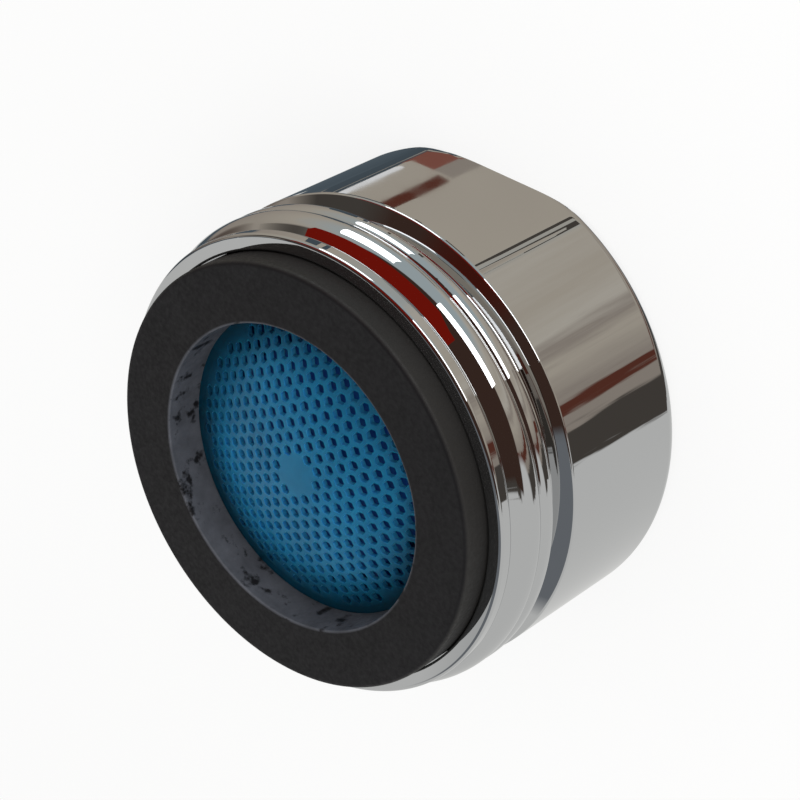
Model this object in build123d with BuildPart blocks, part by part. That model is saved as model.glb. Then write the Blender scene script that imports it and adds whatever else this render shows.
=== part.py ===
"""Tap aerator: a chromed sleeve that holds a rubber washer and a plastic insert.

Millimetres. The axis is +Z, the outlet rim stands on z = 0 and the inlet is on top.
"""

import os
from math import ceil, cos, hypot, radians, sin

from build123d import *

# Sealing washer
washer_hole_diameter = 15.4
washer_width = 3.0
washer_thickness = 2.1

# Sleeve: radial build-up from the washer outwards
washer_clearance = 0.05
seat_ledge = 0.75
ledge_width = 0.7
groove_wall = 1.15
groove_depth = 0.85
lip_height = 0.4
neck_depth = 0.95
flat_depth = 1.0

# Sleeve: lengths along the axis, from the outlet up to the inlet
body_length = 8.4
collar_thickness = 0.15
neck_length = 1.45
neck_flank_length = 0.55
rear_bead_length = 0.85
front_bead_length = 0.9
groove_length = 0.8
groove_floor_length = 0.1
lip_length = 0.8
seat_depth = 0.7

# Sleeve: edges
outlet_bevel = 0.55
bead_line_depth = 0.2
lip_bevel = 0.15

# Insert body
insert_clearance = 0.1
flange_thickness = 0.5
air_gap = 0.8
insert_wall = 0.7
rib_count = 6
rib_width = 1.0
jet_shelf_width = 0.5
chamber_height = 4.4
window_height = 1.6
window_width = 4.0
outlet_recess = 0.8

# Dome strainer
dome_margin = 0.3
dome_rise = 1.55
dome_wall = 0.7
strainer_rim_thickness = 0.5
strainer_rim_overlap = 0.7
strainer_pitch = 1.72
strainer_hole = 0.95
strainer_blank_radius = 1.0
strainer_turn = 25.5

# Jet plate
jet_plate_thickness = 1.0
jet_width = 0.9
jet_ring_margin = 1.2
jet_count = 18
cone_radius = 2.6
cone_height = 1.8
cone_tip_radius = 0.5

# Screens, their spacer and the outlet grid
screen_thickness = 0.4
screen_pitch = 2.4
screen_bar = 0.5
spacer_height = 1.6
disc_rim = 0.7
grid_pitch = 1.7
grid_bar = 0.4

# Radii worked out from the build-up
washer_hole_radius = washer_hole_diameter / 2
washer_radius = washer_hole_radius + washer_width
seat_radius = washer_radius + washer_clearance
pocket_radius = seat_radius - seat_ledge
bore_radius = pocket_radius - ledge_width
groove_floor_radius = pocket_radius + groove_wall
lip_radius = groove_floor_radius + lip_height
body_radius = groove_floor_radius + groove_depth
neck_radius = body_radius - neck_depth
flat_distance = body_radius - flat_depth
flange_radius = pocket_radius - insert_clearance
rib_radius = bore_radius - insert_clearance
insert_radius = bore_radius - air_gap
insert_bore_radius = insert_radius - insert_wall
jet_plate_radius = insert_bore_radius - insert_clearance
chamber_radius = insert_bore_radius - jet_shelf_width
disc_radius = chamber_radius - insert_clearance
dome_radius = washer_hole_radius - dome_margin
dome_inner_radius = jet_plate_radius - strainer_rim_overlap

# Heights worked out from the lengths
neck_top = body_length + neck_length
bead_line_height = neck_top + rear_bead_length
bead_top = bead_line_height + front_bead_length
groove_top = bead_top + groove_length
sleeve_length = groove_top + lip_length
seat_height = sleeve_length - seat_depth
strainer_shelf = seat_height - strainer_rim_thickness
ledge_height = strainer_shelf - flange_thickness
dome_top = seat_height + dome_rise
jet_plate_shelf = strainer_shelf - jet_plate_thickness
chamber_bottom = jet_plate_shelf - chamber_height
upper_screen_bottom = chamber_bottom - screen_thickness
spacer_bottom = upper_screen_bottom - spacer_height
lower_screen_bottom = spacer_bottom - screen_thickness
window_bottom = chamber_bottom + chamber_height / 2 - window_height / 2

os.makedirs("parts", exist_ok=True)


def cell_points(pitch, bar, limit):
    """Centres of the square cells of a grid of bars that lie whole within a circle."""
    steps = ceil(limit / pitch)
    places = [pitch * step for step in range(-steps, steps + 1)]
    half = (pitch - bar) / 2
    return [(x, y) for x in places for y in places if hypot(abs(x) + half, abs(y) + half) <= limit]


def hex_points(pitch, inner, outer, turn):
    """Centres of a turned triangular lattice that lie between two circles."""
    steps = ceil(2 * outer / pitch)
    points = []
    for row in range(-steps, steps + 1):
        for column in range(-steps, steps + 1):
            along = pitch * (column + row / 2)
            across = pitch * row * sin(radians(60))
            if inner <= hypot(along, across) <= outer:
                x = along * cos(radians(turn)) - across * sin(radians(turn))
                y = along * sin(radians(turn)) + across * cos(radians(turn))
                points.append((x, y))
    return points


def cap_radius(foot_radius, rise):
    """Radius of the sphere whose cap has this foot radius and rise."""
    return (foot_radius**2 + rise**2) / (2 * rise)


def ring(builder, radius, height):
    """The circular edge of a turned piece that lies nearest to a radius and a height."""
    circles = builder.edges().filter_by(GeomType.CIRCLE)
    return circles.sort_by(lambda edge: hypot(edge.radius - radius, edge.arc_center.Z - height))[0]


# Sleeve: turned tube with a beaded inlet end, then two milled wrench flats
with BuildPart() as sleeve:
    with BuildSketch(Plane.XZ):
        with BuildLine():
            Polyline(
                (bore_radius, 0),
                (body_radius, 0),
                (body_radius, body_length),
                (neck_radius, body_length + neck_flank_length),
                (neck_radius, neck_top),
                (body_radius, neck_top),
                (body_radius, bead_line_height - bead_line_depth),
                (body_radius - bead_line_depth, bead_line_height),
                (body_radius, bead_line_height + bead_line_depth),
                (body_radius, bead_top),
                (groove_floor_radius, groove_top - groove_floor_length),
                (groove_floor_radius, groove_top),
                (lip_radius, groove_top),
                (lip_radius, sleeve_length),
                (seat_radius, sleeve_length),
                (seat_radius, seat_height),
                (pocket_radius, seat_height),
                (pocket_radius, ledge_height),
                (bore_radius, ledge_height),
                close=True,
            )
        make_face()
    revolve(axis=Axis.Z)
    chamfer(ring(sleeve, body_radius, 0), outlet_bevel)
    chamfer(ring(sleeve, lip_radius, sleeve_length), lip_bevel)
    # Flats run from the outlet up to a thin full-round collar
    with BuildSketch(Plane.XY):
        with Locations((0, flat_distance + flat_depth), (0, -flat_distance - flat_depth)):
            Rectangle(2 * body_radius, 2 * flat_depth)
    extrude(amount=body_length - collar_thickness, mode=Mode.SUBTRACT)
sleeve.part.label = "sleeve"
export_step(sleeve.part, "parts/sleeve.step")

# Sealing washer: flat rubber ring that seats on the sleeve and the strainer's rim
with BuildPart() as sealing_washer:
    with BuildSketch(Plane.XY.offset(seat_height)):
        Circle(washer_radius)
        Circle(washer_hole_radius, mode=Mode.SUBTRACT)
    extrude(amount=washer_thickness)
sealing_washer.part.label = "sealing_washer"
export_step(sealing_washer.part, "parts/sealing_washer.step")

# Dome strainer: thin cap between two spheres on a flat rim, with straight-pulled square holes
outer_sphere_radius = cap_radius(dome_radius, dome_rise)
inner_sphere_radius = cap_radius(dome_inner_radius, dome_top - dome_wall - strainer_shelf)
with BuildPart() as dome_strainer:
    with BuildSketch(Plane.XY.offset(strainer_shelf)):
        Circle(dome_radius)
    extrude(amount=dome_top - strainer_shelf)
    with Locations((0, 0, dome_top - outer_sphere_radius)):
        Sphere(outer_sphere_radius, rotation=(0, 90, 0), mode=Mode.INTERSECT)
    with BuildSketch(Plane.XY.offset(strainer_shelf)):
        Circle(flange_radius)
    extrude(amount=strainer_rim_thickness)
    with Locations((0, 0, dome_top - dome_wall - inner_sphere_radius)):
        Sphere(inner_sphere_radius, rotation=(0, 90, 0), mode=Mode.SUBTRACT)
    hole_limit = dome_inner_radius - strainer_hole
    with BuildSketch(Plane.XY.offset(strainer_shelf)):
        with Locations(*hex_points(strainer_pitch, strainer_blank_radius, hole_limit, strainer_turn)):
            Rectangle(strainer_hole, strainer_hole, rotation=strainer_turn)
    extrude(amount=dome_top - strainer_shelf, mode=Mode.SUBTRACT)
dome_strainer.part.label = "dome_strainer"
export_step(dome_strainer.part, "parts/dome_strainer.step")

# Insert body: stepped cup that hangs by its flange on the sleeve's ledge
with BuildPart() as insert_body:
    with BuildSketch(Plane.XZ):
        with BuildLine():
            Polyline(
                (chamber_radius, jet_plate_shelf),
                (insert_bore_radius, jet_plate_shelf),
                (insert_bore_radius, strainer_shelf),
                (flange_radius, strainer_shelf),
                (flange_radius, ledge_height),
                (insert_radius, ledge_height),
                (insert_radius, outlet_recess),
                (chamber_radius, outlet_recess),
                close=True,
            )
        make_face()
    revolve(axis=Axis.Z)
    # Ribs that centre the cup in the bore and leave the air gap open between them
    with BuildSketch(Plane.XY.offset(outlet_recess)):
        with PolarLocations((insert_bore_radius + rib_radius) / 2, rib_count):
            Rectangle(rib_radius - insert_bore_radius, rib_width)
        Circle(insert_bore_radius + insert_wall / 2, mode=Mode.SUBTRACT)
    extrude(amount=ledge_height - outlet_recess)
    # Air windows into the mixing chamber, one between each pair of ribs
    with BuildSketch(Plane.XY.offset(window_bottom)):
        with PolarLocations(insert_radius, rib_count, start_angle=180 / rib_count):
            Rectangle(2 * (insert_radius - chamber_radius), window_width)
    extrude(amount=window_height, mode=Mode.SUBTRACT)
insert_body.part.label = "insert_body"
export_step(insert_body.part, "parts/insert_body.step")

# Jet plate: ring of square jets in a disc, with a deflector cone under its middle
with BuildPart() as jet_plate:
    with BuildSketch(Plane.XZ):
        with BuildLine():
            Polyline(
                (0, strainer_shelf),
                (jet_plate_radius, strainer_shelf),
                (jet_plate_radius, jet_plate_shelf),
                (cone_radius, jet_plate_shelf),
                (cone_tip_radius, jet_plate_shelf - cone_height),
                (0, jet_plate_shelf - cone_height),
                close=True,
            )
        make_face()
    revolve(axis=Axis.Z)
    with BuildSketch(Plane.XY.offset(jet_plate_shelf)):
        with PolarLocations(chamber_radius - jet_ring_margin, jet_count):
            Rectangle(jet_width, jet_width)
    extrude(amount=jet_plate_thickness, mode=Mode.SUBTRACT)
jet_plate.part.label = "jet_plate"
export_step(jet_plate.part, "parts/jet_plate.step")

# Screens: two thin discs of crossed bars
for screen_name, screen_bottom in (
    ("upper_screen", upper_screen_bottom),
    ("lower_screen", lower_screen_bottom),
):
    with BuildPart() as screen:
        with BuildSketch(Plane.XY.offset(screen_bottom)):
            Circle(disc_radius)
        extrude(amount=screen_thickness)
        with BuildSketch(Plane.XY.offset(screen_bottom)):
            with Locations(*cell_points(screen_pitch, screen_bar, disc_radius - disc_rim)):
                Rectangle(screen_pitch - screen_bar, screen_pitch - screen_bar)
        extrude(amount=screen_thickness, mode=Mode.SUBTRACT)
    screen.part.label = screen_name
    export_step(screen.part, f"parts/{screen_name}.step")

# Screen spacer: plain ring between the two screens
with BuildPart() as screen_spacer:
    with BuildSketch(Plane.XY.offset(spacer_bottom)):
        Circle(disc_radius)
        Circle(disc_radius - disc_rim, mode=Mode.SUBTRACT)
    extrude(amount=spacer_height)
screen_spacer.part.label = "screen_spacer"
export_step(screen_spacer.part, "parts/screen_spacer.step")

# Outlet grid: deep square cells that straighten the stream
with BuildPart() as outlet_grid:
    with BuildSketch(Plane.XY.offset(outlet_recess)):
        Circle(disc_radius)
    extrude(amount=lower_screen_bottom - outlet_recess)
    with BuildSketch(Plane.XY.offset(outlet_recess)):
        with Locations(*cell_points(grid_pitch, grid_bar, disc_radius - disc_rim)):
            Rectangle(grid_pitch - grid_bar, grid_pitch - grid_bar)
    extrude(amount=lower_screen_bottom - outlet_recess, mode=Mode.SUBTRACT)
outlet_grid.part.label = "outlet_grid"
export_step(outlet_grid.part, "parts/outlet_grid.step")
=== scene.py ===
"""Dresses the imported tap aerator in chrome, rubber and moulded plastic, and sets its stage."""
from math import hypot, pi, radians, sin, sqrt

import bmesh
import bpy
from mathutils import Matrix, Vector


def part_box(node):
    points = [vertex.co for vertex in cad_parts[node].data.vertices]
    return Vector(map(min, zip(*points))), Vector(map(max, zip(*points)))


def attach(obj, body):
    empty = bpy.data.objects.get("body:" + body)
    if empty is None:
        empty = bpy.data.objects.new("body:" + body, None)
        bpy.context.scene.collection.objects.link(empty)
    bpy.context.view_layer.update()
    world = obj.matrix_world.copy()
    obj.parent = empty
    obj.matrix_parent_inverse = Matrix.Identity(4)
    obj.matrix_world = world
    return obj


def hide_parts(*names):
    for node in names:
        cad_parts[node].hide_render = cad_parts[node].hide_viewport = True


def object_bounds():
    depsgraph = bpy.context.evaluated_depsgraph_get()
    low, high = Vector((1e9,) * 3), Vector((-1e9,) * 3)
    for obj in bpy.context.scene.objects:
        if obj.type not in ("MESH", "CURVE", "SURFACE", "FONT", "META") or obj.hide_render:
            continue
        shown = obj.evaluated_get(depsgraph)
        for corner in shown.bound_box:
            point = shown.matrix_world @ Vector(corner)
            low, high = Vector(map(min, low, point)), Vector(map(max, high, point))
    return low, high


bl_info = {
    "name": "Tap aerator dressing",
    "version": (1, 0, 0),
    "blender": (4, 5, 0),
    "location": "3D View > Sidebar > Aerator",
    "description": "Dresses the packed tap aerator in chrome, rubber and moulded plastic",
    "category": "Object",
}

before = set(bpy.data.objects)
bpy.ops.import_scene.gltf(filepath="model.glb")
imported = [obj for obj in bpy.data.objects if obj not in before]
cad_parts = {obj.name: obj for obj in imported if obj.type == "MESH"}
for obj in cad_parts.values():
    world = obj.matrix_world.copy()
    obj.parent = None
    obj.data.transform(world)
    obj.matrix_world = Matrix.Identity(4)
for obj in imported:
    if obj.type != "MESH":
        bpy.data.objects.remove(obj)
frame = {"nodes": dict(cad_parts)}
CAD_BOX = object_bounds()
MM = 0.001
SLEEVE_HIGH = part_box("sleeve")[1]
WASHER_LOW, WASHER_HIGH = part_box("sealing_washer")
STRAINER_LOW, STRAINER_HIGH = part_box("dome_strainer")

# Roundings of the turned and moulded edges, in millimetres.
SLEEVE_EDGES = {
    "outlet_inside": 0.25, "outlet_rim": 0.14, "outlet_bevel": 0.35, "collar": 0.07, "neck_foot": 0.1,
    "neck_corner": 0.02, "rear_bead": 0.28, "line_rear": 0.22, "line_floor": 0.05, "line_front": 0.18,
    "front_bead": 0.46, "groove_foot": 0.08, "groove_corner": 0.02, "lip_rear": 0.2, "lip_front": 0.18,
    "seat_mouth": 0.12, "pocket_mouth": 0.08, "ledge": 0.12,
}
WASHER_EDGES = {"hole_bottom": 0.06, "rim_bottom": 0.1, "hole_top": 0.1}
SHARP_ANGLE = radians(38)

# The colour sockets of a Mix node, by their place, and the range that most of a noise's values fall in.
COLOUR_A, COLOUR_B, MIXED = 6, 7, 2
NOISE_SPREAD = {"From Min": 0.3, "From Max": 0.7}
WHITE = (1, 1, 1, 1)

# Height of the mirrored room's ceiling above the part's axis, in metres.
CEILING = 0.3


def linear(hex_colour):
    """Turn an sRGB hex colour into linear red, green, blue and alpha."""
    channels = [int(hex_colour[start:start + 2], 16) / 255 for start in (1, 3, 5)]
    return [c / 12.92 if c <= 0.04045 else ((c + 0.055) / 1.055) ** 2.4 for c in channels] + [1.0]


def length(name, description, millimetres):
    """A length property whose default is given in millimetres."""
    return bpy.props.FloatProperty(name=name, description=description, default=millimetres * MM, min=0.0,
                                   precision=5, unit="LENGTH")


def tint(name, description, hex_colour):
    """A colour property whose default is given as an sRGB hex value."""
    return bpy.props.FloatVectorProperty(name=name, description=description, default=linear(hex_colour),
                                         size=4, min=0.0, max=1.0, subtype="COLOR")


class SleeveSettings(bpy.types.PropertyGroup):
    """Turned profile of the sleeve, its wrench flats and its chrome."""

    body_radius: length("Body radius", "Outer radius of the body and of both beads", SLEEVE_HIGH[0] / MM)
    lip_radius: length("Lip radius", "Outer radius of the lip at the inlet", 11.55)
    groove_radius: length("Groove radius", "Radius at the floor of the groove behind the lip", 11.15)
    groove_floor: length("Groove floor", "Length of the groove's floor before the bead's flank rises", 0.1)
    seat_radius: length("Seat radius", "Radius of the washer's seat inside the lip", 10.75)
    pocket_radius: length("Pocket radius", "Radius of the pocket for the insert's flange", 10.0)
    bore_radius: length("Bore radius", "Radius of the plain bore", 9.3)
    flat_distance: length("Flat distance", "Distance of each wrench flat from the axis", 11.0)
    flat_height: length("Flat height", "Height at which the wrench flats end", 8.25)
    flat_roll: length("Flat edge roll", "How far the plating softens the long edges of the flats", 0.2)
    body_length: length("Body length", "Height of the collar at the end of the body", 8.4)
    neck_radius: length("Neck radius", "Radius at the floor of the neck under the beads", 11.05)
    neck_flank: length("Neck flank", "Length of the slope from the collar down to the neck", 0.55)
    neck_top: length("Neck top", "Height at which the beads start", 9.85)
    bead_line: length("Bead line", "Height of the fine line between the two beads", 10.7)
    bead_line_depth: length("Bead line depth", "Depth of the fine line between the two beads", 0.2)
    bead_top: length("Bead top", "Height at which the front bead ends", 11.6)
    groove_top: length("Groove top", "Height at which the lip starts", 12.4)
    sleeve_top: length("Sleeve top", "Height of the lip's front edge", SLEEVE_HIGH[2] / MM)
    seat_height: length("Seat height", "Height of the washer's seat", WASHER_LOW[2] / MM)
    ledge_height: length("Ledge height", "Height of the ledge that carries the insert", 11.5)
    outlet_bevel: length("Outlet bevel", "Bevel round the outlet end", 0.55)
    steps: bpy.props.IntProperty(name="Turning steps", description="Facets round the turned pieces",
                                 default=288, min=48, max=720)
    chrome: tint("Chrome", "Colour that the chrome plating reflects", "#C6C7C8")


class WasherSettings(bpy.types.PropertyGroup):
    """Sizes and colours of the rubber washer."""

    hole_radius: length("Hole radius", "Radius of the washer's hole", 7.7)
    outer_radius: length("Outer radius", "Outer radius of the washer", WASHER_HIGH[0] / MM)
    bottom: length("Bottom", "Height of the seated face", WASHER_LOW[2] / MM)
    top: length("Top", "Height of the sealing face", WASHER_HIGH[2] / MM)
    edge: length("Edge", "Rounding of the sealing face's outer edge", 0.22)
    rubber: tint("Rubber", "Colour of the moulded rubber", "#141315")
    talc: tint("Talc", "Colour of the talc-worn wall of the hole", "#4B4D53")
    dust: tint("Dust", "Colour of the dusty outer wall", "#222120")


class StrainerSettings(bpy.types.PropertyGroup):
    """Sizes and colours of the domed strainer."""

    dome_radius: length("Dome radius", "Radius at the foot of the dome", 7.4)
    rim_radius: length("Rim radius", "Outer radius of the rim under the washer", STRAINER_HIGH[0] / MM)
    foot: length("Foot", "Height of the rim's upper face", WASHER_LOW[2] / MM)
    shelf: length("Shelf", "Height of the rim's lower face", STRAINER_LOW[2] / MM)
    top: length("Top", "Height of the dome's crown", STRAINER_HIGH[2] / MM)
    wall: length("Wall", "Thickness of the sieve", 0.28)
    pitch: length("Pitch", "Spacing of the holes", 0.72)
    hole: length("Hole", "Width of a hole across its flats", 0.5)
    field_radius: length("Field radius", "Radius of the field of holes", 7.0)
    blank_radius: length("Blank radius", "Radius of the blank spot at the crown", 0.95)
    turn: bpy.props.FloatProperty(name="Turn", description="Turn of the rows of holes about the axis",
                                  default=radians(31.7), subtype="ANGLE")
    blue: tint("Blue", "Colour of the moulded strainer", "#055F82")
    # Painted shade: the plate deep under the dome, seen through the holes, takes this darker navy.
    painted_pit_shade: tint("Navy", "Deeper colour of the plate behind the holes", "#053C80")
    # Painted light: the paler colour of the holes' side walls stands in for light and sheen on them.
    painted_wall_light: tint("Haze", "Paler colour of the holes' thin walls", "#2A7AA4")


class InsertSettings(bpy.types.PropertyGroup):
    """Colours of the pieces inside the sleeve."""

    acetal: tint("Acetal", "Colour of the moulded insert", "#D6D4CC")
    steel: tint("Steel", "Colour that the screens reflect", "#B9B7B2")


class StageSettings(bpy.types.PropertyGroup):
    """Floor, light and the room that the chrome mirrors."""

    floor: tint("Floor", "Colour of the floor", "#F2F2F0")
    table: tint("Table", "Pale table in the mirrored room", "#D9D9D7")
    near_table: tint("Near table", "Shaded part of the table in the mirrored room", "#777B80")
    edge: tint("Edge", "Dark edge behind the table in the mirrored room", "#4E4944")
    shade: tint("Shade", "Blue shade at the left of the mirrored room", "#4F5A62")
    wall: tint("Wall", "Warm wall of the mirrored room", "#BEB5A7")
    wall_light: tint("Light wall", "Lit part of the wall", "#C9C2B6")
    wall_dark: tint("Dark wall", "Shaded part of the wall", "#A0968C")
    frame: tint("Frame", "Red-brown frame in the mirrored room", "#63382D")
    cloth: tint("Cloth", "Faded red-brown cloth in the mirrored room", "#8E5A4E")
    front: tint("Front", "Dark side of the mirrored room, towards the inlet", "#43312A")
    red: tint("Red", "Red hanging in the mirrored room", "#82190F")
    dark_red: tint("Dark red", "Shaded side of the red hanging", "#4A1B14")
    ceiling: tint("Ceiling", "Cool ceiling of the mirrored room", "#B4C0C3")
    fill: bpy.props.FloatProperty(name="Fill", description="Level of the even light from all round",
                                  default=0.72, min=0.0, max=2.0)


def add_node(tree, kind, inputs=None, **settings):
    """Add a node with its settings, and give each named input a value or a link."""
    node = tree.nodes.new(kind)
    for name, value in settings.items():
        setattr(node, name, value)
    for name, value in (inputs or {}).items():
        if isinstance(value, bpy.types.NodeSocket):
            tree.links.new(value, node.inputs[name])
        else:
            node.inputs[name].default_value = value
    return node


def per_metre(millimetres):
    """Texture scale at which a pattern's features are this many millimetres wide."""
    return 1 / (millimetres * MM)


def new_material(name):
    """A material with an empty node tree."""
    material = bpy.data.materials.new(name)
    material.use_nodes = True
    material.node_tree.nodes.clear()
    return material


def stops(ramp, *colours):
    """Give a colour ramp its stops, each a position and a colour."""
    elements = ramp.color_ramp.elements
    while len(elements) > 1:
        elements.remove(elements[-1])
    elements[0].position, elements[0].color = colours[0]
    for position, colour in colours[1:]:
        elements.new(position).color = colour


def vertices_in(parts):
    """The vertices among a mix of vertices, edges and faces."""
    return [part for part in parts if isinstance(part, bmesh.types.BMVert)]


def closed_profile(mesh, corners):
    """Join corners of radius, height and rounding into a closed wire, and round those that ask for it.

    A point just past each rounding keeps the straight stretch beyond it flat in the light.
    """
    hold = 0.02 * MM
    arc_facets = 5
    wire = []
    rounded = []
    for corner, following in zip(corners, corners[1:] + corners[:1]):
        start = Vector((corner[0], 0, corner[1]))
        stretch = Vector((following[0], 0, following[1])) - start
        wire.append(mesh.verts.new(start))
        if corner[2]:
            rounded.append((wire[-1], corner[2]))
        first = corner[2] + hold
        last = stretch.length - following[2] - hold
        if first < last:
            wire += [mesh.verts.new(start + stretch.normalized() * along) for along in (first, last)]
    for start, end in zip(wire, wire[1:] + wire[:1]):
        mesh.edges.new((start, end))
    for vertex, rounding in rounded:
        bmesh.ops.bevel(mesh, geom=[vertex], offset=rounding, offset_type="OFFSET", segments=arc_facets,
                        profile=0.5, affect="VERTICES", material=-1)


def turn_solid(mesh, steps):
    """Spin the wire about the part's axis into a closed turned solid."""
    seam = 0.0005 * MM
    bmesh.ops.spin(mesh, geom=mesh.verts[:] + mesh.edges[:], cent=(0, 0, 0), axis=(0, 0, 1),
                   angle=2 * pi, steps=steps, use_merge=True)
    bmesh.ops.remove_doubles(mesh, verts=mesh.verts[:], dist=seam)
    bmesh.ops.recalc_face_normals(mesh, faces=mesh.faces[:])


def add_object(mesh, name, material):
    """Turn the mesh into an object of the scene, with one material."""
    data = bpy.data.meshes.new(name)
    mesh.to_mesh(data)
    mesh.free()
    data.materials.append(material)
    item = bpy.data.objects.new(name, data)
    bpy.context.scene.collection.objects.link(item)
    return item


def finish_piece(mesh, name, material, node):
    """Make the mesh a smooth, crisp-edged piece under the root, and hide the CAD node in its place."""
    piece = add_object(mesh, name, material)
    piece.data.shade_smooth()
    piece.data.set_sharp_from_angle(angle=SHARP_ANGLE)
    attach(piece, "root")
    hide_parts(node)


def sleeve_profile(sizes):
    """Corners of the sleeve's section, from the outlet's inner edge up the outside and down the inside."""
    line = sizes.bead_line_depth
    edge = {name: rounding * MM for name, rounding in SLEEVE_EDGES.items()}
    return [
        (sizes.bore_radius, 0, edge["outlet_inside"]),
        (sizes.body_radius - sizes.outlet_bevel, 0, edge["outlet_rim"]),
        (sizes.body_radius, sizes.outlet_bevel, edge["outlet_bevel"]),
        (sizes.body_radius, sizes.body_length, edge["collar"]),
        (sizes.neck_radius, sizes.body_length + sizes.neck_flank, edge["neck_foot"]),
        (sizes.neck_radius, sizes.neck_top, edge["neck_corner"]),
        (sizes.body_radius, sizes.neck_top, edge["rear_bead"]),
        (sizes.body_radius, sizes.bead_line - line, edge["line_rear"]),
        (sizes.body_radius - line, sizes.bead_line, edge["line_floor"]),
        (sizes.body_radius, sizes.bead_line + line, edge["line_front"]),
        (sizes.body_radius, sizes.bead_top, edge["front_bead"]),
        (sizes.groove_radius, sizes.groove_top - sizes.groove_floor, edge["groove_foot"]),
        (sizes.groove_radius, sizes.groove_top, edge["groove_corner"]),
        (sizes.lip_radius, sizes.groove_top, edge["lip_rear"]),
        (sizes.lip_radius, sizes.sleeve_top, edge["lip_front"]),
        (sizes.seat_radius, sizes.sleeve_top, edge["seat_mouth"]),
        (sizes.seat_radius, sizes.seat_height, 0),
        (sizes.pocket_radius, sizes.seat_height, edge["pocket_mouth"]),
        (sizes.pocket_radius, sizes.ledge_height, 0),
        (sizes.bore_radius, sizes.ledge_height, edge["ledge"]),
    ]


def mill_flats(mesh, sizes):
    """Press the body's outer wall back to the two wrench flats, with the soft edges that plating leaves."""
    edge = sqrt(sizes.body_radius ** 2 - sizes.flat_distance ** 2)
    ledge = 0.03 * MM
    cuts_each_way = 4
    cuts_per_roll = 1.7
    on_plane = 0.0001 * MM
    weld = 0.001 * MM
    cuts = [((side * (edge + step * sizes.flat_roll / cuts_per_roll), 0, 0), (1, 0, 0))
            for side in (-1, 1) for step in range(-cuts_each_way, cuts_each_way + 1)]
    cuts += [((0, 0, sizes.flat_height), (0, 0, 1)), ((0, 0, sizes.flat_height - ledge), (0, 0, 1))]
    for point, normal in cuts:
        bmesh.ops.bisect_plane(mesh, geom=mesh.verts[:] + mesh.edges[:] + mesh.faces[:], dist=on_plane,
                               plane_co=point, plane_no=normal)
    outer = (sizes.body_radius + sizes.bore_radius) / 2
    sag = sizes.flat_roll / 4
    for vertex in mesh.verts:
        place = vertex.co
        if hypot(place.x, place.y) < outer or place.z > sizes.flat_height - ledge / 2:
            continue
        reach = abs(place.y)
        near = max(sizes.flat_roll - abs(reach - sizes.flat_distance), 0) / sizes.flat_roll
        pressed = min(reach, sizes.flat_distance) - near * near * sag
        place.y = pressed if place.y > 0 else -pressed
    bmesh.ops.remove_doubles(mesh, verts=mesh.verts[:], dist=weld)
    bmesh.ops.dissolve_degenerate(mesh, dist=weld, edges=mesh.edges[:])


def lattice_cell(mesh, pitch, row, hole, tag):
    """One flat six-sided cell of the sieve, with a hole of the same shape where a hole is asked for."""
    shape = ((-0.5, -1 / 3), (0, -2 / 3), (0.5, -1 / 3), (0.5, 1 / 3), (0, 2 / 3), (-0.5, 1 / 3))
    plate = mesh.faces.new([mesh.verts.new((x * pitch, y * row, 0)) for x, y in shape])
    ring = []
    if hole:
        inset = row / 6
        ring = bmesh.ops.inset_individual(mesh, faces=[plate], thickness=inset)["faces"]
        for vertex, (x, y) in zip(plate.verts, shape):
            vertex.co = (x * hole, y * hole * row / pitch, 0)
            vertex[tag] = 1
        bmesh.ops.delete(mesh, geom=[plate], context="FACES_ONLY")
    faces = ring or [plate]
    edges = {edge for face in faces for edge in face.edges}
    vertices = {vertex for face in faces for vertex in face.verts}
    return list(vertices) + list(edges) + faces


def copy_to(mesh, cell, x, y):
    """Copy a cell of the sieve to a point of the lattice."""
    copy = bmesh.ops.duplicate(mesh, geom=cell)["geom"]
    bmesh.ops.translate(mesh, verts=vertices_in(copy), vec=(x, y, 0))


def sieve_sheet(mesh, sizes):
    """Flat sheet of the strainer: lattice of holes, blank crown, plain border and rim."""
    weld = 0.002 * MM
    foot_facets = 144
    row = sizes.pitch * sin(pi / 3)
    tag = mesh.verts.layers.int.new("hole")
    holed = lattice_cell(mesh, sizes.pitch, row, sizes.hole, tag)
    blank = lattice_cell(mesh, sizes.pitch, row, 0, tag)
    reach = int(sizes.field_radius / row) + 2
    for line in range(-reach, reach + 1):
        for place in range(-2 * reach, 2 * reach + 1):
            x = (place + line / 2) * sizes.pitch
            y = line * row
            radius = hypot(x, y)
            if 0 < radius < sizes.field_radius:
                copy_to(mesh, blank if radius < sizes.blank_radius else holed, x, y)
    bmesh.ops.delete(mesh, geom=vertices_in(holed), context="VERTS")
    bmesh.ops.remove_doubles(mesh, verts=mesh.verts[:], dist=weld)
    bmesh.ops.rotate(mesh, verts=mesh.verts[:], cent=(0, 0, 0), matrix=Matrix.Rotation(sizes.turn, 3, "Z"))
    border = [edge for edge in mesh.edges if edge.is_boundary and not any(end[tag] for end in edge.verts)]
    circle = bmesh.ops.create_circle(mesh, segments=foot_facets, radius=sizes.dome_radius)["verts"]
    foot = list({edge for vertex in circle for edge in vertex.link_edges})
    bmesh.ops.triangle_fill(mesh, edges=border + foot, use_beauty=True, normal=(0, 0, 1))
    rim = bmesh.ops.extrude_edge_only(mesh, edges=foot)["geom"]
    spread = sizes.rim_radius / sizes.dome_radius
    bmesh.ops.scale(mesh, verts=vertices_in(rim), vec=(spread, spread, 1))


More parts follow.
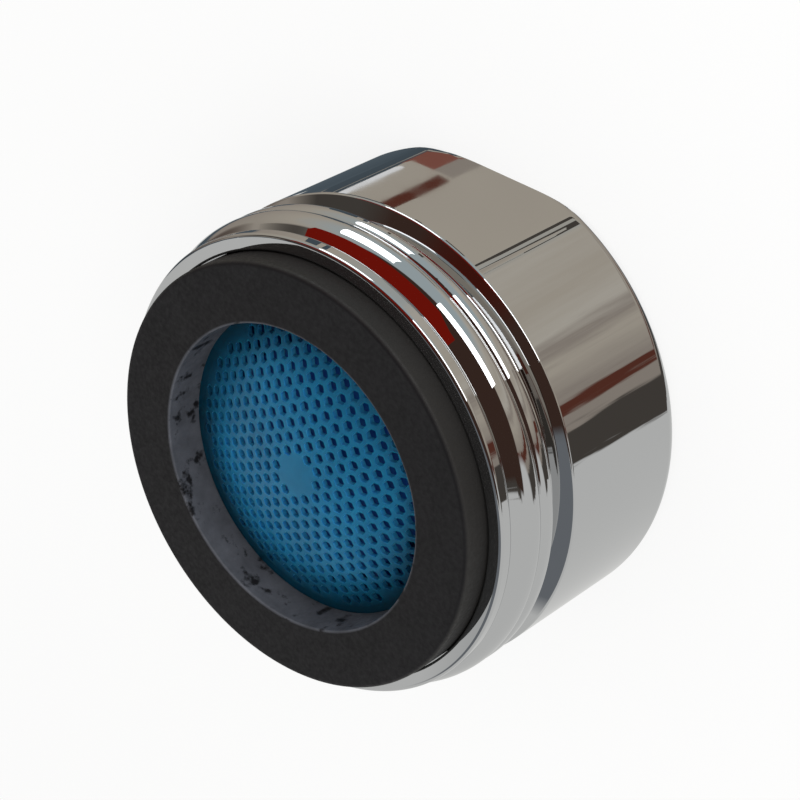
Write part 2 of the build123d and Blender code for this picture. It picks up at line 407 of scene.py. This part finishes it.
def raise_dome(mesh, sizes):
    """Raise the flat sheet into the dome and give it its wall."""
    slack = 0.01 * MM
    rise = sizes.top - sizes.foot
    sphere = (sizes.dome_radius ** 2 + rise ** 2) / (2 * rise)
    for vertex in mesh.verts:
        radius = min(hypot(vertex.co.x, vertex.co.y), sizes.dome_radius)
        vertex.co.z = sizes.top - sphere + sqrt(sphere ** 2 - radius ** 2)
    lower = bmesh.ops.extrude_face_region(mesh, geom=mesh.faces[:], use_keep_orig=True)["geom"]
    for vertex in vertices_in(lower):
        on_rim = hypot(vertex.co.x, vertex.co.y) > sizes.dome_radius - slack
        vertex.co.z = sizes.shelf if on_rim else vertex.co.z - sizes.wall
    bmesh.ops.recalc_face_normals(mesh, faces=mesh.faces[:])


def chromed_brass(colour):
    """Brass, turned, polished and bright chrome plated."""
    # A mirror with a slight roll left by polishing, and faint smudges that dull it in patches.
    material = new_material("Chromed brass, polished")
    tree = material.node_tree
    place = add_node(tree, "ShaderNodeTexCoord").outputs["Object"]
    smudge = add_node(tree, "ShaderNodeTexNoise", {"Vector": place, "Scale": per_metre(3.0), "Detail": 3.0})
    dulled = add_node(tree, "ShaderNodeMapRange", {
        "Value": smudge.outputs["Fac"], "From Min": 0.45, "From Max": 0.75,
        "To Min": 0.012, "To Max": 0.032})
    roll = add_node(tree, "ShaderNodeTexNoise", {"Vector": place, "Scale": per_metre(3.5), "Detail": 1.0})
    bump = add_node(tree, "ShaderNodeBump", {"Height": roll.outputs["Fac"], "Distance": 0.0006 * MM})
    shader = add_node(tree, "ShaderNodeBsdfPrincipled", {
        "Base Color": colour, "Metallic": 1.0, "Roughness": dulled.outputs["Result"],
        "Normal": bump.outputs["Normal"]})
    add_node(tree, "ShaderNodeOutputMaterial", {"Surface": shader.outputs["BSDF"]})
    return material


def moulded_rubber(sizes):
    """EPDM rubber, compression moulded and dusted with talc."""
    # Near black and dull, with a fine grain; talc has worn the hole's wall grey and left dark specks in it.
    material = new_material("EPDM rubber, moulded")
    tree = material.node_tree
    place = add_node(tree, "ShaderNodeTexCoord").outputs["Object"]
    flat = add_node(tree, "ShaderNodeVectorMath", {0: place, 1: (1, 1, 0)}, operation="MULTIPLY")
    across = add_node(tree, "ShaderNodeVectorMath", {0: flat.outputs["Vector"]}, operation="LENGTH")
    radius = across.outputs["Value"]
    cloud = add_node(tree, "ShaderNodeTexNoise", {
        "Vector": place, "Scale": per_metre(1.6), "Detail": 5.0, "Roughness": 0.65})
    grain = add_node(tree, "ShaderNodeTexNoise", {"Vector": place, "Scale": per_metre(0.22), "Detail": 4.0})
    shade = add_node(tree, "ShaderNodeMapRange", {
        "Value": cloud.outputs["Fac"], **NOISE_SPREAD, "To Min": 0.82, "To Max": 1.18})
    rubber = add_node(tree, "ShaderNodeVectorMath", {
        0: sizes.rubber[:3], "Scale": shade.outputs["Result"]}, operation="SCALE")
    wall = add_node(tree, "ShaderNodeMapRange", {
        "Value": radius, "From Min": sizes.hole_radius + 0.03 * MM,
        "From Max": sizes.hole_radius + 0.14 * MM, "To Min": 1.0, "To Max": 0.0})
    speck = add_node(tree, "ShaderNodeTexNoise", {
        "Vector": place, "Scale": per_metre(1.1), "Detail": 4.0, "Roughness": 0.6})
    bare = add_node(tree, "ShaderNodeMapRange", {
        "Value": speck.outputs["Fac"], "From Min": 0.36, "From Max": 0.44})
    worn = add_node(tree, "ShaderNodeMath", {
        0: wall.outputs["Result"], 1: bare.outputs["Result"]}, operation="MULTIPLY")
    patchy = add_node(tree, "ShaderNodeMapRange", {
        "Value": cloud.outputs["Fac"], **NOISE_SPREAD, "To Min": 0.75, "To Max": 1.3})
    talc = add_node(tree, "ShaderNodeVectorMath", {
        0: sizes.talc[:3], "Scale": patchy.outputs["Result"]}, operation="SCALE")
    talced = add_node(tree, "ShaderNodeMix", {
        "Factor": worn.outputs["Value"], COLOUR_A: rubber.outputs["Vector"],
        COLOUR_B: talc.outputs["Vector"]}, data_type="RGBA")
    outside = add_node(tree, "ShaderNodeMapRange", {
        "Value": radius, "From Min": sizes.outer_radius - 0.12 * MM,
        "From Max": sizes.outer_radius - 0.02 * MM})
    base = add_node(tree, "ShaderNodeMix", {
        "Factor": outside.outputs["Result"], COLOUR_A: talced.outputs[MIXED], COLOUR_B: sizes.dust},
        data_type="RGBA")
    dull = add_node(tree, "ShaderNodeMapRange", {
        "Value": grain.outputs["Fac"], **NOISE_SPREAD, "To Min": 0.48, "To Max": 0.68})
    bump = add_node(tree, "ShaderNodeBump", {
        "Height": grain.outputs["Fac"], "Distance": 0.012 * MM, "Strength": 0.6})
    shader = add_node(tree, "ShaderNodeBsdfPrincipled", {
        "Base Color": base.outputs[MIXED], "Roughness": dull.outputs["Result"], "Specular IOR Level": 0.3,
        "Normal": bump.outputs["Normal"]})
    add_node(tree, "ShaderNodeOutputMaterial", {"Surface": shader.outputs["BSDF"]})
    return material


def strainer_plastic(sizes):
    """Polypropylene, dyed blue and injection moulded."""
    # Clear strong blue with a soft gloss, and thin walls that let some light through. The holes' side walls
    # are painted paler as painted light, the dome is painted darker towards its foot as painted shade, and
    # the plate seen through the holes is painted deep navy as painted shade.
    foot_shade_band = 2.2 * MM
    material = new_material("Polypropylene, moulded blue")
    tree = material.node_tree
    place = add_node(tree, "ShaderNodeTexCoord").outputs["Object"]
    cloud = add_node(tree, "ShaderNodeTexNoise", {"Vector": place, "Scale": per_metre(2.5), "Detail": 3.0})
    shade = add_node(tree, "ShaderNodeMapRange", {
        "Value": cloud.outputs["Fac"], **NOISE_SPREAD, "To Min": 0.85, "To Max": 1.12})
    flat = add_node(tree, "ShaderNodeVectorMath", {0: place, 1: (1, 1, 0)}, operation="MULTIPLY")
    radius = add_node(tree, "ShaderNodeVectorMath", {0: flat.outputs["Vector"]}, operation="LENGTH")
    # Painted shade: the dome's colour darkens towards its foot beside the washer.
    painted_foot_shade = add_node(tree, "ShaderNodeMapRange", {
        "Value": radius.outputs["Value"], "From Min": sizes.dome_radius - foot_shade_band,
        "From Max": sizes.dome_radius, "To Min": 1.0, "To Max": 0.25})
    tone_and_foot_shade = add_node(tree, "ShaderNodeMath", {
        0: shade.outputs["Result"], 1: painted_foot_shade.outputs["Result"]}, operation="MULTIPLY")
    height = add_node(tree, "ShaderNodeSeparateXYZ", {"Vector": place})
    # Painted shade: below the dome's foot the colour turns to the deep navy.
    clear_of_pit_shade = add_node(tree, "ShaderNodeMapRange", {
        "Value": height.outputs["Z"], "From Min": sizes.shelf, "From Max": sizes.foot})
    facing = add_node(tree, "ShaderNodeTexCoord").outputs["Normal"]
    upward = add_node(tree, "ShaderNodeSeparateXYZ", {"Vector": facing})
    # Painted light: faces that turn sideways, the holes' walls, take the paler colour.
    top_face_share = add_node(tree, "ShaderNodeMapRange", {
        "Value": upward.outputs["Z"], "From Min": 0.3, "From Max": 0.7})
    sieve = add_node(tree, "ShaderNodeMix", {
        "Factor": top_face_share.outputs["Result"], COLOUR_A: sizes.painted_wall_light, COLOUR_B: sizes.blue}, data_type="RGBA")
    dye_and_painted_light = add_node(tree, "ShaderNodeMix", {
        "Factor": clear_of_pit_shade.outputs["Result"], COLOUR_A: sizes.painted_pit_shade, COLOUR_B: sieve.outputs[MIXED]},
        data_type="RGBA")
    blue = add_node(tree, "ShaderNodeVectorMath", {
        0: dye_and_painted_light.outputs[MIXED], "Scale": tone_and_foot_shade.outputs["Value"]}, operation="SCALE")
    grain = add_node(tree, "ShaderNodeTexNoise", {"Vector": place, "Scale": per_metre(0.3), "Detail": 3.0})
    bump = add_node(tree, "ShaderNodeBump", {
        "Height": grain.outputs["Fac"], "Distance": 0.01 * MM, "Strength": 0.5})
    shader = add_node(tree, "ShaderNodeBsdfPrincipled", {
        "Base Color": blue.outputs["Vector"], "Roughness": 0.4, "Specular IOR Level": 0.35,
        "Subsurface Weight": 0.8, "Subsurface Radius": (0.3, 0.7, 1.0), "Subsurface Scale": 0.4 * MM,
        "Normal": bump.outputs["Normal"]})
    add_node(tree, "ShaderNodeOutputMaterial", {"Surface": shader.outputs["BSDF"]})
    return material


def insert_acetal(colour):
    """Acetal, natural white, injection moulded."""
    # Waxy off-white with a faint cloudiness and the fine texture of the mould.
    material = new_material("Acetal, natural, moulded")
    tree = material.node_tree
    place = add_node(tree, "ShaderNodeTexCoord").outputs["Object"]
    cloud = add_node(tree, "ShaderNodeTexNoise", {"Vector": place, "Scale": per_metre(3.0), "Detail": 4.0})
    shade = add_node(tree, "ShaderNodeMapRange", {
        "Value": cloud.outputs["Fac"], **NOISE_SPREAD, "To Min": 0.93, "To Max": 1.04})
    white = add_node(tree, "ShaderNodeVectorMath", {
        0: colour[:3], "Scale": shade.outputs["Result"]}, operation="SCALE")
    grain = add_node(tree, "ShaderNodeTexNoise", {"Vector": place, "Scale": per_metre(0.2), "Detail": 2.0})
    bump = add_node(tree, "ShaderNodeBump", {
        "Height": grain.outputs["Fac"], "Distance": 0.008 * MM, "Strength": 0.5})
    shader = add_node(tree, "ShaderNodeBsdfPrincipled", {
        "Base Color": white.outputs["Vector"], "Roughness": 0.42, "IOR": 1.48, "Subsurface Weight": 0.15,
        "Subsurface Radius": (1.0, 0.9, 0.8), "Subsurface Scale": 0.5 * MM,
        "Normal": bump.outputs["Normal"]})
    add_node(tree, "ShaderNodeOutputMaterial", {"Surface": shader.outputs["BSDF"]})
    return material


def screen_steel(colour):
    """Stainless steel sheet, rolled and punched."""
    # Satin metal with fine rolling lines along one direction.
    material = new_material("Stainless steel, rolled")
    tree = material.node_tree
    place = add_node(tree, "ShaderNodeTexCoord").outputs["Object"]
    stretched = add_node(tree, "ShaderNodeMapping", {"Vector": place, "Scale": (0.06, 1.0, 1.0)})
    lines = add_node(tree, "ShaderNodeTexNoise", {
        "Vector": stretched.outputs["Vector"], "Scale": per_metre(0.15), "Detail": 3.0})
    dull = add_node(tree, "ShaderNodeMapRange", {
        "Value": lines.outputs["Fac"], **NOISE_SPREAD, "To Min": 0.24, "To Max": 0.4})
    bump = add_node(tree, "ShaderNodeBump", {"Height": lines.outputs["Fac"], "Distance": 0.004 * MM})
    shader = add_node(tree, "ShaderNodeBsdfPrincipled", {
        "Base Color": colour, "Metallic": 1.0, "Roughness": dull.outputs["Result"],
        "Normal": bump.outputs["Normal"]})
    add_node(tree, "ShaderNodeOutputMaterial", {"Surface": shader.outputs["BSDF"]})
    return material


class AERATOR_OT_sleeve(bpy.types.Operator):
    """Turn the chromed sleeve, mill its wrench flats and plate it."""

    bl_idname = "aerator.sleeve"
    bl_label = "Sleeve"

    def execute(self, context):
        sizes = context.scene.aerator_sleeve
        mesh = bmesh.new()
        closed_profile(mesh, sleeve_profile(sizes))
        turn_solid(mesh, sizes.steps)
        mill_flats(mesh, sizes)
        finish_piece(mesh, "sleeve_turned", chromed_brass(sizes.chrome), "sleeve")
        return {"FINISHED"}


class AERATOR_OT_washer(bpy.types.Operator):
    """Mould the rubber washer."""

    bl_idname = "aerator.washer"
    bl_label = "Washer"

    def execute(self, context):
        sizes = context.scene.aerator_washer
        edge = {name: rounding * MM for name, rounding in WASHER_EDGES.items()}
        mesh = bmesh.new()
        closed_profile(mesh, [
            (sizes.hole_radius, sizes.bottom, edge["hole_bottom"]),
            (sizes.outer_radius, sizes.bottom, edge["rim_bottom"]),
            (sizes.outer_radius, sizes.top, sizes.edge),
            (sizes.hole_radius, sizes.top, edge["hole_top"]),
        ])
        turn_solid(mesh, context.scene.aerator_sleeve.steps)
        finish_piece(mesh, "washer_moulded", moulded_rubber(sizes), "sealing_washer")
        return {"FINISHED"}


class AERATOR_OT_strainer(bpy.types.Operator):
    """Mould the domed strainer with its fine holes."""

    bl_idname = "aerator.strainer"
    bl_label = "Strainer"

    def execute(self, context):
        sizes = context.scene.aerator_strainer
        plastic = strainer_plastic(sizes)
        mesh = bmesh.new()
        sieve_sheet(mesh, sizes)
        raise_dome(mesh, sizes)
        finish_piece(mesh, "strainer_moulded", plastic, "dome_strainer")
        return {"FINISHED"}


class AERATOR_OT_insert(bpy.types.Operator):
    """Give the pieces inside the sleeve their plastics and steel."""

    bl_idname = "aerator.insert"
    bl_label = "Insert"

    def execute(self, context):
        colours = context.scene.aerator_insert
        acetal = insert_acetal(colours.acetal)
        steel = screen_steel(colours.steel)
        blue = bpy.data.materials["Polypropylene, moulded blue"]
        finishes = {"insert_body": acetal, "screen_spacer": acetal, "outlet_grid": acetal,
                    "jet_plate": blue, "upper_screen": steel, "lower_screen": steel}
        for node, material in finishes.items():
            frame["nodes"][node].material_slots[0].material = material
        return {"FINISHED"}


def room_world(colours):
    """The even light from all round, and the room that shows only as a mirror image in the chrome."""
    world = bpy.data.worlds.new("Soft light and mirrored room")
    world.use_nodes = True
    tree = world.node_tree
    tree.nodes.clear()
    direction = add_node(tree, "ShaderNodeTexCoord").outputs["Generated"]
    part = add_node(tree, "ShaderNodeSeparateXYZ", {"Vector": direction})
    # The bands of the room lie at heights from 0, straight down, to 1, straight up, and their edges sway.
    sway = 0.12
    uneven = add_node(tree, "ShaderNodeTexNoise", {"Vector": direction, "Scale": 30.0, "Detail": 3.0})
    height = add_node(tree, "ShaderNodeMath", {
        0: uneven.outputs["Fac"], 1: sway, 2: part.outputs["Y"]}, operation="MULTIPLY_ADD")
    level = add_node(tree, "ShaderNodeMapRange", {
        "Value": height.outputs["Value"], "From Min": sway / 2 - 1, "From Max": sway / 2 + 1})
    right = add_node(tree, "ShaderNodeValToRGB", {"Fac": level.outputs["Result"]})
    stops(right, (0.0, colours.table), (0.404, colours.table), (0.413, colours.edge), (0.511, colours.edge),
          (0.521, colours.wall_dark), (0.555, colours.wall_dark), (0.563, colours.frame),
          (0.590, colours.frame), (0.602, colours.wall_dark), (0.68, colours.wall),
          (0.715, colours.wall_dark), (0.75, colours.wall_light), (0.80, colours.wall),
          (0.86, colours.wall_light), (0.93, colours.ceiling))
    left = add_node(tree, "ShaderNodeValToRGB", {"Fac": level.outputs["Result"]})
    stops(left, (0.0, colours.table), (0.365, colours.table), (0.375, colours.shade), (0.44, colours.shade),
          (0.47, colours.wall_dark), (0.75, colours.wall), (0.93, colours.ceiling))
    blend = 0.05
    side = add_node(tree, "ShaderNodeMapRange", {
        "Value": part.outputs["X"], "From Min": -blend, "From Max": blend})
    room = add_node(tree, "ShaderNodeMix", {
        "Factor": side.outputs["Result"], COLOUR_A: left.outputs["Color"],
        COLOUR_B: right.outputs["Color"]}, data_type="RGBA")
    # Round patches of the room: colour, direction of the middle, cosine at the edge and lowest height.
    soft = 0.02
    patches = ((colours.table, (0.95, -0.30, 0.10), 0.90, -1.0),
               (colours.near_table, (0.05, -0.50, 0.865), 0.86, -1.0),
               (colours.front, (0.25, 0.30, 0.92), 0.50, -0.11),
               (colours.dark_red, (-0.15, 0.33, 0.93), 0.975, -0.11),
               (colours.edge, (-0.78, 0.30, 0.55), 0.97, -1.0),
               (colours.front, (-0.99, 0.0, 0.14), 0.99, -1.0))
    for colour, toward, edge, lowest in patches:
        near = add_node(tree, "ShaderNodeVectorMath", {0: direction, 1: toward}, operation="DOT_PRODUCT")
        inside = add_node(tree, "ShaderNodeMapRange", {
            "Value": near.outputs["Value"], "From Min": edge - soft, "From Max": edge + soft})
        above = add_node(tree, "ShaderNodeMapRange", {
            "Value": part.outputs["Y"], "From Min": lowest - soft, "From Max": lowest + soft})
        share = add_node(tree, "ShaderNodeMath", {
            0: inside.outputs["Result"], 1: above.outputs["Result"]}, operation="MULTIPLY")
        room = add_node(tree, "ShaderNodeMix", {
            "Factor": share.outputs["Value"], COLOUR_A: room.outputs[MIXED], COLOUR_B: colour},
            data_type="RGBA")
    path = add_node(tree, "ShaderNodeLightPath")
    fill = (colours.fill, colours.fill, colours.fill, 1)
    seen = add_node(tree, "ShaderNodeMix", {
        "Factor": path.outputs["Is Glossy Ray"], COLOUR_A: fill, COLOUR_B: room.outputs[MIXED]},
        data_type="RGBA")
    shown = add_node(tree, "ShaderNodeMix", {
        "Factor": path.outputs["Is Camera Ray"], COLOUR_A: seen.outputs[MIXED], COLOUR_B: WHITE},
        data_type="RGBA")
    light = add_node(tree, "ShaderNodeBackground", {"Color": shown.outputs[MIXED]})
    add_node(tree, "ShaderNodeOutputWorld", {"Surface": light.outputs["Background"]})
    bpy.context.scene.world = world


def pale_floor(colours):
    """A wide pale floor that keeps a faint shadow of the part."""
    whitened = 0.8
    half_width = 1.5
    material = new_material("Painted board, pale")
    tree = material.node_tree
    board = add_node(tree, "ShaderNodeBsdfDiffuse", {"Color": colours.floor})
    glow = add_node(tree, "ShaderNodeEmission", {"Color": WHITE})
    path = add_node(tree, "ShaderNodeLightPath")
    share = add_node(tree, "ShaderNodeMath", {
        0: path.outputs["Is Camera Ray"], 1: whitened}, operation="MULTIPLY")
    both = add_node(tree, "ShaderNodeMixShader", {
        "Fac": share.outputs["Value"], 1: board.outputs["BSDF"], 2: glow.outputs["Emission"]})
    add_node(tree, "ShaderNodeOutputMaterial", {"Surface": both.outputs["Shader"]})
    mesh = bmesh.new()
    bmesh.ops.create_grid(mesh, x_segments=1, y_segments=1, size=half_width)
    floor = add_object(mesh, "floor", material)
    floor.visible_glossy = False


def soft_lamp(name, toward, distance, size, level, mirrored):
    """An area lamp that faces the part from a direction, with its power worked out from its level."""
    aim = Vector(toward).normalized()
    lamp = bpy.data.lights.new(name, "AREA")
    lamp.shape = "RECTANGLE"
    lamp.size, lamp.size_y = size
    lamp.energy = level * pi ** 2 * distance ** 2
    holder = bpy.data.objects.new(name, lamp)
    holder.location = aim * distance + Vector((0, 0, CAD_BOX[1][2] / 2))
    holder.rotation_euler = aim.to_track_quat("Z", "Y").to_euler()
    holder.visible_glossy = mirrored
    bpy.context.scene.collection.objects.link(holder)


def mirror_card(name, corners, colour):
    """A card of four corners in metres that shows only as a mirror image in the chrome."""
    material = new_material(name)
    tree = material.node_tree
    glow = add_node(tree, "ShaderNodeEmission", {"Color": colour})
    add_node(tree, "ShaderNodeOutputMaterial", {"Surface": glow.outputs["Emission"]})
    mesh = bmesh.new()
    mesh.faces.new([mesh.verts.new(corner) for corner in corners])
    card = add_object(mesh, name, material)
    card.visible_camera = False
    card.visible_diffuse = False
    card.visible_shadow = False
    card.visible_transmission = False


def ceiling_card(name, left, right, back, front, colour):
    """A mirror card flat under the ceiling of the mirrored room."""
    outline = ((left, back), (right, back), (right, front), (left, front))
    mirror_card(name, [(across, CEILING, along) for across, along in outline], colour)


def mirrored_cards(colours):
    """The things in the mirrored room that are too sharp or too near for the world to draw."""
    overhead = (("Ceiling bar", -0.3452, -0.3402, -0.4592, -0.415, colours.frame),
                ("Ceiling cloth", -0.3640, -0.3485, -0.490, -0.461, colours.cloth),
                ("Ceiling cloth fold", -0.3485, -0.3408, -0.490, -0.461, colours.wall_dark),
                ("Skylight", -0.3605, -0.3552, -0.4555, -0.415, WHITE),
                ("Ceiling shade", -0.400, -0.3612, -0.490, -0.40, colours.shade),
                ("Ceiling beam left", -0.235, -0.165, -0.46, -0.345, colours.edge),
                ("Ceiling beam right", -0.105, -0.012, -0.38, -0.2895, colours.edge))
    for name, left, right, back, front, colour in overhead:
        ceiling_card(name, left, right, back, front, colour)
    beside = ((-0.05, -0.02, -0.07), (-0.05, 0.043, -0.07),
              (-0.05, 0.043, -0.0362), (-0.05, -0.02, -0.0362))
    mirror_card("Shade beside the body", beside, colours.shade)
    hanging = ((-0.252, 0.140, 0.198), (-0.252, 0.215, 0.114),
               (0.077, 0.301, 0.160), (0.077, 0.175, 0.293))
    mirror_card("Red hanging", hanging, colours.red)


def photo_camera():
    """The camera at the viewing angle of the photograph."""
    right = Vector((0.75989, 0.09281, -0.64339))
    up = Vector((-0.40267, 0.84422, -0.35379))
    back = Vector((0.51032, 0.52792, 0.67888))
    stand = Vector((61.87, 65.05, 88.91)) * MM
    camera = bpy.data.cameras.new("Photo view")
    camera.lens = 112.6
    camera.sensor_width = 36
    camera.clip_start = 0.005
    holder = bpy.data.objects.new("Photo view", camera)
    holder.matrix_world = Matrix.Translation(stand) @ Matrix((right, up, back)).transposed().to_4x4()
    bpy.context.scene.collection.objects.link(holder)
    bpy.context.scene.camera = holder


class AERATOR_OT_stage(bpy.types.Operator):
    """Set the floor, the soft light, the mirrored room and the camera."""

    bl_idname = "aerator.stage"
    bl_label = "Stage"

    def execute(self, context):
        colours = context.scene.aerator_stage
        context.scene.view_settings.view_transform = "Standard"
        room_world(colours)
        pale_floor(colours)
        soft_lamp("Ceiling lamp right", toward=(0.50, 0.81, 0.15), distance=0.25, size=(0.17, 0.09),
                  level=0.3, mirrored=True)
        soft_lamp("Ceiling lamp left", toward=(-0.39, 0.89, -0.08), distance=0.25, size=(0.115, 0.12),
                  level=0.2, mirrored=True)
        soft_lamp("Front softbox", toward=(0.60, 0.20, 0.77), distance=0.30, size=(0.16, 0.16),
                  level=0.4, mirrored=False)
        mirrored_cards(colours)
        photo_camera()
        return {"FINISHED"}


class AERATOR_PT_dressing(bpy.types.Panel):
    """Lists the pieces of the aerator and its stage."""

    bl_idname = "AERATOR_PT_dressing"
    bl_label = "Tap aerator"
    bl_space_type = "VIEW_3D"
    bl_region_type = "UI"
    bl_category = "Aerator"

    def draw(self, context):
        for operator, group in PIECES:
            self.layout.operator(operator.bl_idname)
            settings = getattr(context.scene, group)
            column = self.layout.column(align=True)
            for name in type(settings).__annotations__:
                column.prop(settings, name)


GROUPS = {"aerator_sleeve": SleeveSettings, "aerator_washer": WasherSettings,
          "aerator_strainer": StrainerSettings, "aerator_insert": InsertSettings,
          "aerator_stage": StageSettings}
PIECES = ((AERATOR_OT_sleeve, "aerator_sleeve"), (AERATOR_OT_washer, "aerator_washer"),
          (AERATOR_OT_strainer, "aerator_strainer"), (AERATOR_OT_insert, "aerator_insert"),
          (AERATOR_OT_stage, "aerator_stage"))


def register():
    """Register the settings, the operators and the panel."""
    for name, group in GROUPS.items():
        bpy.utils.register_class(group)
        setattr(bpy.types.Scene, name, bpy.props.PointerProperty(type=group))
    for operator, _ in PIECES:
        bpy.utils.register_class(operator)
    bpy.utils.register_class(AERATOR_PT_dressing)


def unregister():
    """Remove the panel, the operators and the settings."""
    bpy.utils.unregister_class(AERATOR_PT_dressing)
    for operator, _ in PIECES:
        bpy.utils.unregister_class(operator)
    for name, group in GROUPS.items():
        delattr(bpy.types.Scene, name)
        bpy.utils.unregister_class(group)


def main():
    """Make every piece and the stage."""
    register()
    bpy.ops.aerator.sleeve()
    bpy.ops.aerator.washer()
    bpy.ops.aerator.strainer()
    bpy.ops.aerator.insert()
    bpy.ops.aerator.stage()


if __name__ == "__main__":
    main()
